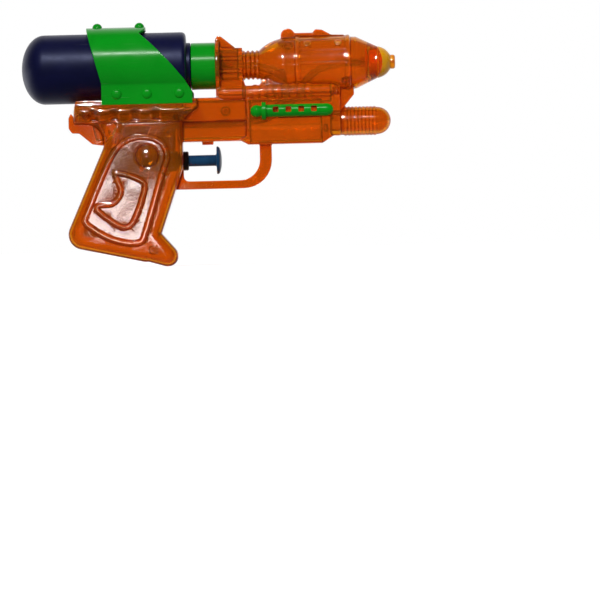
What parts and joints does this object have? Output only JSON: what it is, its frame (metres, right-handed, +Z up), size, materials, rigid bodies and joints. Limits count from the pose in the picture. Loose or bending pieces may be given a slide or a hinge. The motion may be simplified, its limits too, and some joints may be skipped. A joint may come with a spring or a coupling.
{
  "type": "water squirter",
  "caption": "Toy water pistol with a domed screw-in tank under a strap, a push-in plunger trigger in a guard, a piston pump in its grip and a cone nozzle on its barrel.",
  "frame": {"origin": "under the middle of the length and width, at the lowest point of the grip's butt", "axes": "+X along the barrel to the muzzle, +Y to the squirter's left side, +Z up"},
  "size_m": [0.2232, 0.0468, 0.1461],
  "materials": {
    "orange_shell": "translucent moulded polystyrene, glossy",
    "navy_tank": "blow-moulded polyethylene, satin",
    "green_trim": "moulded, glossy",
    "yellow_cone": "moulded, satin",
    "blue_plunger": "moulded, satin",
    "black_plastic": "moulded",
    "black_rubber": "moulded",
    "pale_plastic": "natural moulded",
    "spring_steel": "bright",
    "clear_hose": "soft extruded vinyl"
  },
  "bodies": {
    "housing": {"right_shell": "orange_shell", "left_shell": "orange_shell", "neck_collar": "green_trim", "inlet_spigot": "pale_plastic", "dip_tube": "pale_plastic", "tank_saddle": "green_trim", "right_side_clip": "green_trim", "left_side_clip": "green_trim", "nozzle_cone": "yellow_cone", "nozzle_tip": "orange_shell", "gland_nut": "black_plastic", "pump_cylinder": "black_plastic", "return_spring": "spring_steel", "valve_block": "black_plastic", "block_seal": "black_rubber", "inlet_fitting": "pale_plastic", "outlet_fitting": "pale_plastic", "suction_hose": "clear_hose", "delivery_hose": "clear_hose"},
    "plunger": {"trigger": "blue_plunger", "piston": "black_plastic", "piston_ring": "black_rubber"},
    "gasket": {"neck_gasket": "black_rubber"},
    "bottle": {"tank": "navy_tank"},
    "inlet_valve": {"inlet_ball": "spring_steel"},
    "outlet_valve": {"outlet_ball": "spring_steel"}
  },
  "joints": [
    {"name": "trigger_slide", "type": "slide", "parent": "housing", "child": "plunger", "axis": [-1, 0, 0], "range_m": [0, 0.012], "stiffness_N_per_m": 120, "springref_m": -0.012, "deforming": ["return_spring"]},
    {"name": "tank_turn", "type": "hinge", "parent": "housing", "child": "gasket", "pos_m": [-0.0019, 0, 0.1191], "axis": [-1, 0, 0], "range_deg": [0, 1080]},
    {"name": "tank_screw", "type": "slide", "parent": "gasket", "child": "bottle", "axis": [-1, 0, 0], "range_m": [0, 0.0127]},
    {"name": "inlet_ball_lift", "type": "slide", "parent": "housing", "child": "inlet_valve", "axis": [0, 0, 1], "range_m": [0, 0.0012]},
    {"name": "outlet_ball_lift", "type": "slide", "parent": "housing", "child": "outlet_valve", "axis": [0, 0, 1], "range_m": [0, 0.0012]}
  ],
  "couplings": [
    {"joint": "tank_screw", "follows": "tank_turn", "m_per_rad": 0.00066845}
  ]
}
